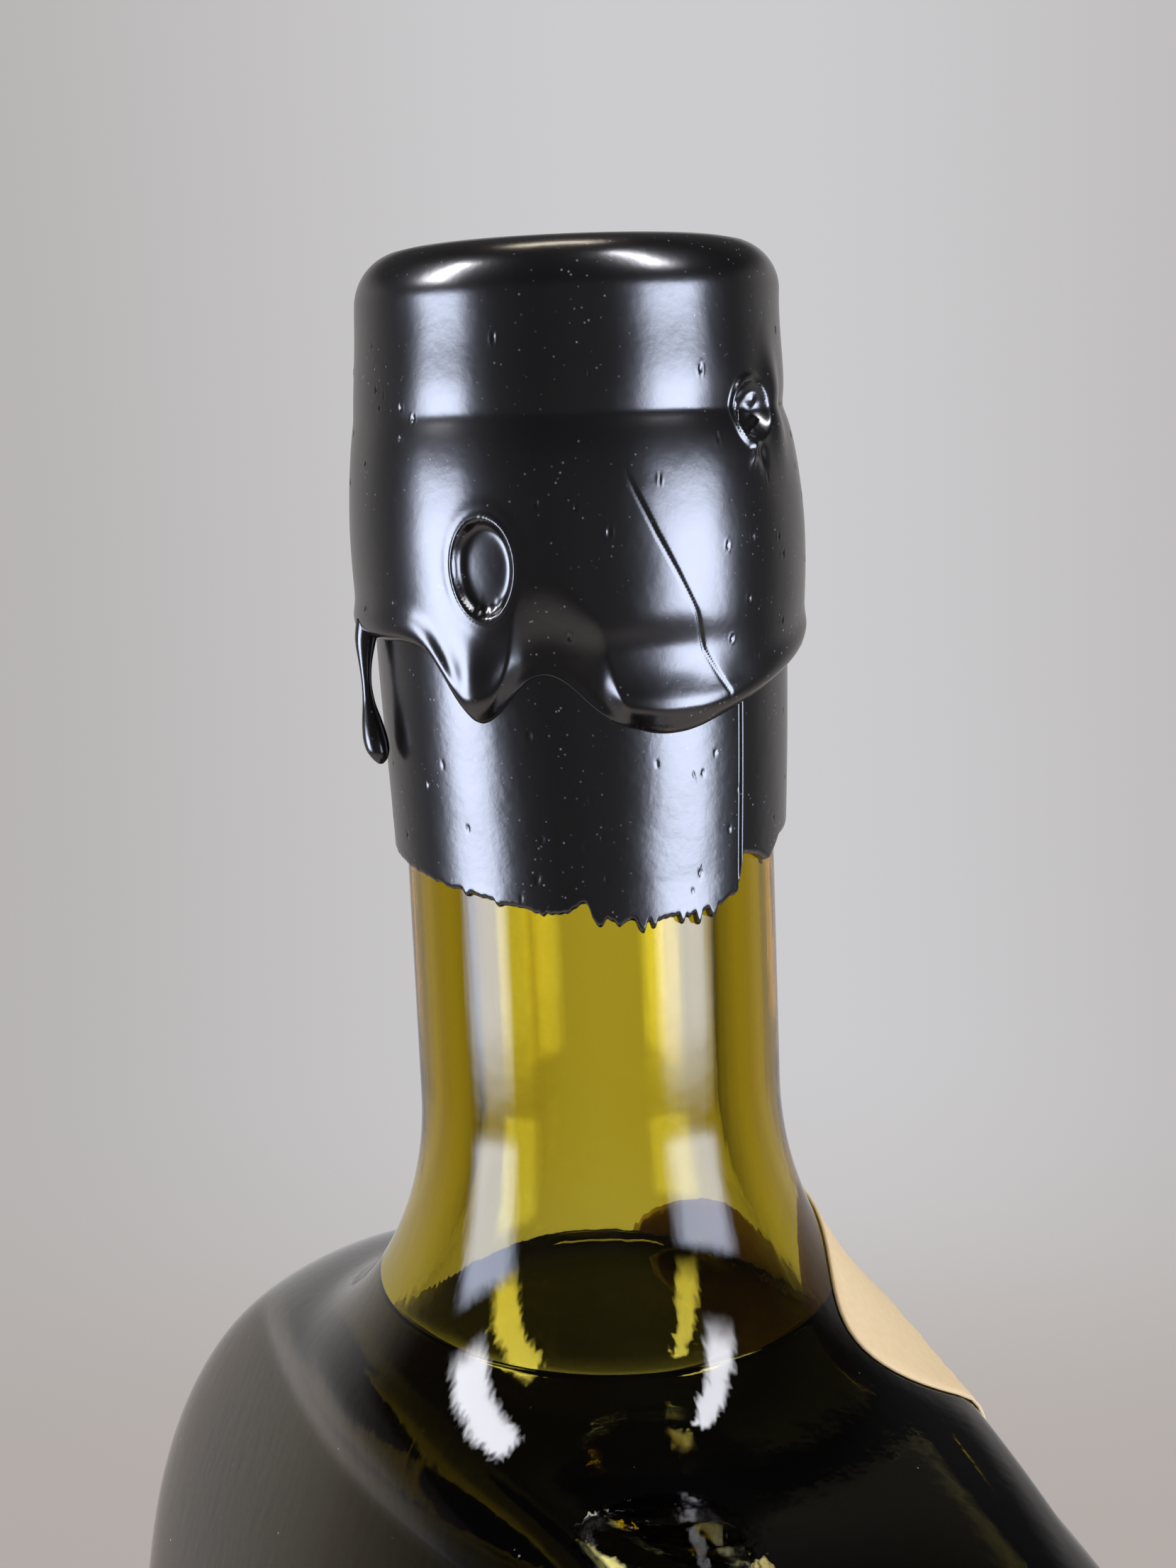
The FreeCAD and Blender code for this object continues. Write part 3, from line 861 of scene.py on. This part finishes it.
    def radius(self, angle: Array, back: Array) -> Array:
        """Outer radius at a distance back up from the lower edge."""
        edge = self.edge(angle)
        drop = edge - back
        crisp = self.crispness(angle)
        base = self.skirt.outer(angle, drop)
        full = self.profile(drop) + self.swells(angle, drop) * step(back - 1.0, 0.5)
        width = 0.95 * crisp + 8.0 * (1.0 - crisp)
        share = np.clip(back / width, 0.0, 1.0)
        quarter = np.sqrt(np.maximum(1.0 - (1.0 - share) ** 2, 0.0))
        smooth = share * share * (3.0 - 2.0 * share)
        rise = quarter * crisp + smooth * (1.0 - crisp)
        bead = 0.30 * crisp * bell(back - 1.5, 1.1)
        radius = base + 0.02 + (full - base - 0.02) * rise + bead * rise
        swell = 0.05 * waves(angle * 17.0, drop, 2, 8, 0.10, 0.32)
        marks = self.dimple(angle, drop) + self.crater(angle, drop) + self.fold(angle, drop)
        marks = marks + self.pinholes(angle, drop) - self.waist(angle, drop)
        return radius + (swell + marks) * step(back - 0.6, 0.15) * step(drop - 4.0, 0.5)

    def build(self) -> bpy.types.Object:
        """Make the coat as a closed skin over the mouth and down to its dripping edge."""
        s = self.sizes
        angle = self.bearings()[None, :]
        edge = self.edge(angle)
        still = 0.0 * angle
        inner = s.neck + 0.35
        rings = [
            polar(angle, s.neck + 0.02 + still, s.level(self.mouth_drop + still)),
            polar(angle, s.neck + 0.02 + still, s.level(self.lip_top + still)),
            polar(angle, self.lip + still, s.level(self.lip_top + still)),
            polar(angle, self.lip + still, s.level(self.lip_foot + still)),
            polar(angle, inner + still, s.level(self.lip_foot + 0.5 + still)),
            polar(angle, inner + still, s.level(edge - 0.3)),
        ]
        for k in np.linspace(0.0, 1.0, self.rows):
            back = (0.30 * k + 0.70 * k**1.2) * (edge - 0.01)
            rings.append(polar(angle, self.radius(angle, back), s.level(edge - back)))
        flat = self.rim_radius - self.rim_round
        for cut in (0.97, 0.9, 0.75, 0.5, 0.2):
            rings.append(polar(angle, flat * cut + still, s.level(still)))
        points, faces = closed_surface("second coat", np.concatenate(rings))
        made = mesh_object("wax_cap", points, faces)
        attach(made, "root")
        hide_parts("wax_second_coat")
        return made


@dataclass
class HangingDrip(Piece):
    """The teardrop that hangs free from the second coat's edge on a thin stem."""

    sizes: BottleSizes
    #: bearing, drop, distance from the neck's axis and radius along the drip
    stations: tuple[tuple[float, float, float, float], ...] = (
        (-73.5, 27.4, 16.9, 1.0), (-73.5, 29.0, 17.3, 0.85), (-73.0, 30.8, 17.45, 0.50),
        (-72.8, 32.4, 17.45, 0.36), (-72.2, 33.9, 17.4, 0.48), (-71.0, 35.3, 17.3, 0.80),
        (-70.0, 36.6, 17.2, 0.98), (-69.3, 37.5, 17.1, 0.92), (-68.8, 38.2, 17.0, 0.55),
        (-68.6, 38.5, 17.0, 0.2),
    )

    def build(self) -> bpy.types.Object:
        """Carry a circle along the drip's path; the path is smoothed between stations."""
        s = self.sizes
        raw = np.array(self.stations)
        fine = np.linspace(0.0, len(raw) - 1.0, 48)
        track = np.stack([np.interp(fine, np.arange(len(raw)), raw[:, k]) for k in range(4)], -1)
        for _ in range(4):
            track[1:-1] = 0.25 * track[:-2] + 0.5 * track[1:-1] + 0.25 * track[2:]
        bearing = np.radians(s.view_side + track[:, 0])
        centre = polar(bearing, track[:, 2], s.level(track[:, 1]))
        turn = ring_angles(28)
        out = np.stack([np.cos(bearing), np.sin(bearing), 0.0 * bearing], -1)
        side = np.stack([-np.sin(bearing), np.cos(bearing), 0.0 * bearing], -1)
        ring = (
            np.cos(turn)[None, :, None] * out[:, None, :]
            + np.sin(turn)[None, :, None] * side[:, None, :]
        )
        grid = centre[:, None, :] + ring * track[:, 3][:, None, None]
        points, faces = closed_surface("drip", grid)
        made = mesh_object("wax_drip", points, faces)
        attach(made, "root")
        return made


@dataclass
class ShoulderLabel(Piece):
    """Plain oval paper label on the shoulder of the -Y face."""

    sizes: BottleSizes
    half_width: float = 21.9
    top_drop: float = 77.6
    bottom_drop: float = 106.4
    thickness: float = 0.25

    def surface(self, x: Array, z: Array, lift: float) -> Array:
        """Points of the front face at (x, z), found by halving the bearing interval."""
        low = np.full(x.shape, -math.pi + 1e-4)
        high = np.full(x.shape, -1e-4)
        for _ in range(40):
            middle = 0.5 * (low + high)
            right = self.sizes.radius(middle, z, -lift) * np.cos(middle)
            low = np.where(right < x, middle, low)
            high = np.where(right < x, high, middle)
        return polar(middle, self.sizes.radius(middle, z, -lift), z)

    def build(self) -> bpy.types.Object:
        """Make the label as a thin closed pillow over an oval of the face."""
        s = self.sizes
        centre = s.level(0.5 * (self.top_drop + self.bottom_drop))
        half = 0.5 * (self.bottom_drop - self.top_drop)
        angle = ring_angles(128)[None, :]
        share = np.array([0.04, 0.15, 0.3, 0.45, 0.6, 0.72, 0.82, 0.9, 0.96, 1.0])[:, None]
        x = self.half_width * share * np.cos(angle)
        z = centre + half * share * np.sin(angle)
        over = self.surface(x, z, self.thickness)
        under = self.surface(x, z, -0.05)
        points, faces = closed_surface("label", np.concatenate([over, under[::-1]]))
        made = mesh_object("label_paper", points, faces)
        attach(made, "root")
        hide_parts("shoulder_label")
        return made


# ---- studio ----


@dataclass
class Studio:
    """Floor, lamps, world and camera."""

    sizes: BottleSizes
    distance: float = 171.0
    eye_drop: float = 12.75
    pitch: float = 9.65
    roll: float = 2.4
    lens: float = 49.85
    #: shares of a soft box's half width and half height over which it fades
    soft_edges: Pair = (0.6, 0.3)

    def floor(self) -> bpy.types.Object:
        """Pale floor as a wide disc."""
        angle = ring_angles(96)[None, :]
        radius = np.array([8000.0, 4000.0, 2000.0, 1000.0, 500.0, 200.0, 60.0])[:, None]
        grid = polar(angle, radius + 0.0 * angle, 0.0 * radius + 0.0 * angle - 0.02)
        rows, cols, _ = grid.shape
        points = grid.reshape(-1, 3)
        middle = list(range((rows - 1) * cols, rows * cols))
        faces = ring_quads(rows, cols).tolist() + [middle]
        made = mesh_object("studio_floor", points, np.array(faces, dtype=object))
        made.data.materials.append(self.paper())
        return made

    def paper(self) -> bpy.types.Material:
        """Matt backdrop paper: shows its own colour near the foot and fades into the room."""
        made = bpy.data.materials.new("matt_backdrop_paper")
        tree = fresh_tree(made)
        place = node(tree, "ShaderNodeTexCoord").outputs["Object"]
        far = node(tree, "ShaderNodeVectorMath", {0: place}, operation="LENGTH")
        # from 0.14 m to 0.4 m out the paper gives way to the room behind it, so no edge shows
        gone = ramp(tree, far.outputs["Value"], (0.14, 0.4), (0.0, 1.0), soft=True)
        tone = srgb("b2aaa5")
        matt = node(tree, "ShaderNodeBsdfDiffuse", in_Color=tone)
        glow = node(tree, "ShaderNodeEmission", in_Color=tone, in_Strength=1.0)
        both = mix(tree, 0.8, matt.outputs[0], glow.outputs[0])
        clear = node(tree, "ShaderNodeBsdfTransparent")
        fade = mix(tree, gone, both, clear.outputs[0])
        node(tree, "ShaderNodeOutputMaterial", {"Surface": fade})
        return made

    def world(self) -> None:
        """Room: pale paper behind the bottle, dim on the side of the tongue, plain grey light."""
        made = bpy.data.worlds.new("pale_room")
        tree = fresh_tree(made)
        way = node(tree, "ShaderNodeTexCoord").outputs["Generated"]
        turn = math.radians(self.sizes.view_side + 180.0)
        facing, across = (math.cos(turn), math.sin(turn), 0.0), (math.sin(turn), -math.cos(turn), 0.0)
        toward, aside = (
            node(tree, "ShaderNodeVectorMath", {0: way, 1: axis}, operation="DOT_PRODUCT").outputs["Value"]
            for axis in (facing, across)
        )
        # backdrop tone: warmer grey below, and a painted pool of light that makes the middle brighter than
        # the sides
        off = reckon(tree, "SUBTRACT", aside, 0.055)
        width = node(tree, "ShaderNodeMath", {0: off}, operation="ABSOLUTE")
        painted_pool = ramp(tree, width.outputs[0], (0.36, 0.03), (0.0, 1.0), soft=True)
        height = node(tree, "ShaderNodeSeparateXYZ", {0: way}).outputs[2]
        rise = ramp(tree, height, (-0.52, -0.28), (0.0, 1.0), soft=True)
        low = blend(tree, painted_pool, srgb("b1a9a4"), srgb("b8b0aa"))
        high = blend(tree, painted_pool, srgb("b6b3b2"), srgb("cccbcd"))
        tone = blend(tree, rise, low, high)
        back = node(tree, "ShaderNodeBackground", {0: tone}, in_Strength=1.0)
        # what the glass and the wax see: pale paper on one side, a dim room on the other
        level = ramp(tree, toward, (0.15, 0.85), (0.13, 1.0), soft=True)
        top = ramp(tree, height, (0.42, 0.18), (0.16, 1.0), soft=True)
        level = reckon(tree, "MAXIMUM", reckon(tree, "MULTIPLY", level, top), 0.06)
        seen = node(tree, "ShaderNodeBackground", {0: tone, 1: level})
        room = node(tree, "ShaderNodeBackground", in_Color=srgb("c9c5c4"), in_Strength=0.45)
        path = node(tree, "ShaderNodeLightPath")
        sharp = reckon(
            tree,
            "MAXIMUM",
            path.outputs["Is Glossy Ray"],
            path.outputs["Is Transmission Ray"],
        )
        first = mix(tree, sharp, room.outputs[0], seen.outputs[0])
        both = mix(tree, path.outputs["Is Camera Ray"], first, back.outputs[0])
        node(tree, "ShaderNodeOutputWorld", {"Surface": both})
        bpy.context.scene.world = made

    def soften(self, data: bpy.types.Light, margins: Pair) -> None:
        """Let a lamp fade towards its edges, as a diffuser does.

        Args:
            data: Area lamp.
            margins: Shares of the half width and the half height over which it fades.
        """
        tree = fresh_tree(data)
        where = node(tree, "ShaderNodeNewGeometry").outputs["Parametric"]
        split = node(tree, "ShaderNodeSeparateXYZ", {0: where})
        falls = []
        for value, margin in zip((split.outputs[0], split.outputs[1]), margins):
            off = reckon(tree, "SUBTRACT", value, 0.5)
            size = node(tree, "ShaderNodeMath", {0: off}, operation="ABSOLUTE").outputs[0]
            falls.append(ramp(tree, size, (0.5, 0.5 * (1.0 - margin)), (0.0, 1.0), soft=True))
        level = reckon(tree, "MULTIPLY", *falls)
        glow = node(tree, "ShaderNodeEmission", {"Strength": level})
        node(tree, "ShaderNodeOutputLight", {"Surface": glow.outputs[0]})

    def area(
        self, name: str, size: Pair, power: float, colour: str, place: Vector, aim: Vector
    ) -> bpy.types.Light:
        """Rectangular lamp, out of the camera's sight, at a place in metres and facing along aim."""
        data = bpy.data.lights.new(name, "AREA")
        data.shape = "RECTANGLE"
        data.size, data.size_y = size
        data.energy = power
        data.color = srgb(colour)[:3]
        made = bpy.data.objects.new(name, data)
        made.location = place
        made.rotation_mode = "QUATERNION"
        made.rotation_quaternion = aim.to_track_quat("-Z", "Y")
        made.visible_camera = False
        bpy.context.scene.collection.objects.link(made)
        return data

    def lamp(
        self, name: str, bearing: float, away: float, span: Pair, width: float, power: float, colour: str
    ) -> None:
        """Tall soft box that faces the neck.

        Args:
            name: Name of the lamp.
            bearing: Degrees to the right of the view side.
            away: Distance from the neck.
            span: Heights of its lower and upper edge.
            width: Its width.
            power: Watts.
            colour: sRGB hex colour.
        """
        turn = math.radians(self.sizes.view_side + bearing)
        low, high = span
        place = Vector((math.cos(turn) * away, math.sin(turn) * away, 0.5 * (low + high))) * MM
        aim = Vector((0.0, 0.0, place.z)) - place
        data = self.area(name, (width * MM, (high - low) * MM), power, colour, place, aim)
        self.soften(data, self.soft_edges)

    def overhead(self) -> None:
        """Small warm lamp above the cap."""
        turn = math.radians(self.sizes.view_side + 188.0)
        place = Vector((0.35 * math.cos(turn), 0.35 * math.sin(turn), 1.25))
        self.area("overhead_lamp", (0.36, 0.14), 1.2, "fff2dc", place, Vector((0, 0, 0.2)) - place)

    def camera(self) -> None:
        """Camera close to the wax, looking a little down, level with the waist."""
        data = bpy.data.cameras.new("camera")
        data.lens = self.lens
        data.sensor_width = 36.0
        data.clip_start = 0.01
        made = bpy.data.objects.new("camera", data)
        turn = math.radians(self.sizes.view_side)
        away = Vector((math.cos(turn), math.sin(turn), 0.0))
        tilt, roll = math.radians(self.pitch), math.radians(self.roll)
        forward = -away * math.cos(tilt) + Vector((0, 0, -1)) * math.sin(tilt)
        right = forward.cross(Vector((0, 0, 1))).normalized()
        up = right.cross(forward)
        turned_right = right * math.cos(roll) - up * math.sin(roll)
        turned_up = right * math.sin(roll) + up * math.cos(roll)
        spot = away * self.distance * MM
        spot.z = self.sizes.level(self.eye_drop) * MM
        axes = (turned_right, turned_up, -forward, spot)
        made.matrix_world = Matrix([[axis[k] for axis in axes] for k in range(3)] + [[0, 0, 0, 1]])
        bpy.context.scene.collection.objects.link(made)
        bpy.context.scene.camera = made

    def build(self) -> None:
        """Set up the whole studio."""
        self.floor()
        self.world()
        self.lamp("left_soft_box", -70.0, 450.0, (5.0, 300.0), 320.0, 2.9, "dde6ff")
        self.lamp("right_soft_box", 56.0, 450.0, (5.0, 300.0), 370.0, 3.3, "dde6ff")
        self.lamp("left_upper_box", -80.0, 900.0, (560.0, 1600.0), 340.0, 22.0, "f6f6ff")
        self.lamp("right_upper_box", 58.0, 900.0, (760.0, 3000.0), 340.0, 44.0, "f6f6ff")
        self.overhead()
        self.camera()
        bpy.context.scene.view_settings.view_transform = "Standard"


def main() -> None:
    """Build every piece, dress it and report it."""
    logging.basicConfig(level=logging.INFO, format="%(name)s %(message)s")
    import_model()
    sizes = BottleSizes()
    low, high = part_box("glass_bottle")
    wide = float(high.x - low.x) / MM / (2.0 * sizes.half_width)
    deep = float(high.y - low.y) / MM / (2.0 * sizes.half_depth)
    glass = GlassBody(sizes, fit=(min(wide, 1.0), min(deep, 1.0)))
    skirt = FirstCoat(sizes)
    upper = SealingWax(WaxCoat.UPPER, roughness=0.22, peel=0.05, dust=0.75).make()
    lower = SealingWax(WaxCoat.LOWER, roughness=0.23, peel=0.08, dust=0.85).make()
    plan = [
        (glass, SodaGlass().make()),
        (SpiritFill(glass), AgedSpirit().make()),
        (skirt, lower),
        (SecondCoat(sizes, skirt), upper),
        (HangingDrip(sizes), upper),
        (ShoulderLabel(sizes), LabelPaper().make()),
    ]
    for maker, finish in plan:
        piece = maker.build()
        maker.dress(piece, finish)
        LOG.info("%s: %d faces", piece.name, len(piece.data.polygons))
    Studio(sizes).build()


if __name__ == "__main__":
    main()
